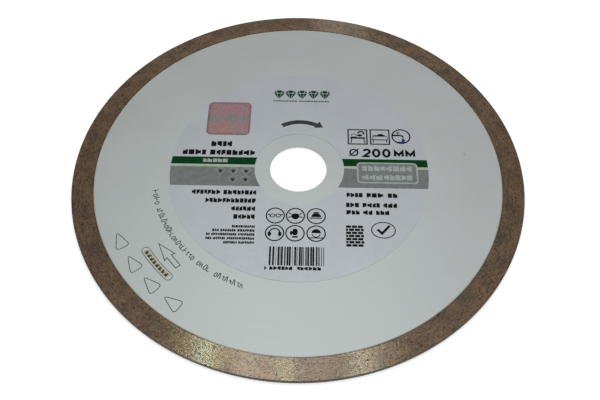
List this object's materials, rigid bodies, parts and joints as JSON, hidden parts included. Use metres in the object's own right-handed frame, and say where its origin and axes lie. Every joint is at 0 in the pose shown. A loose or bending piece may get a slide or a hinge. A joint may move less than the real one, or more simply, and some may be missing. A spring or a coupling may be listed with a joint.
{
  "type": "diamond blade",
  "caption": "Thin continuous-rim diamond cutting disc with a ground steel core, a sintered rim, an arbor bore and a round silver label.",
  "frame": {"origin": "centre of the arbor bore, at half the blade's thickness", "axes": "+Z along the blade's axis, out of the labelled front face; +Y towards the top of the label's print; +X to its right"},
  "size_m": [0.2, 0.2, 0.0018],
  "materials": {
    "ground_steel": "fine ground",
    "bond_metal": "dull ground",
    "sintered_bronze": "ground, with pits",
    "diamond": "rough crystal",
    "label_film": "satin silver film",
    "hologram_foil": "iridescent foil",
    "print_black": "printed ink",
    "print_green": "printed ink",
    "print_pale": "printed ink",
    "print_grey": "printed ink",
    "print_blue": "printed ink",
    "print_charcoal": "printed ink",
    "print_silver": "printed ink",
    "laser_mark": "laser darkened"
  },
  "bodies": {
    "root": {"steel_core": "ground_steel", "bond_layer": "bond_metal", "diamond_rim": "sintered_bronze", "diamond_grit": "diamond", "printed_label": "label_film", "hologram_sticker": "hologram_foil"}
  },
  "joints": []
}
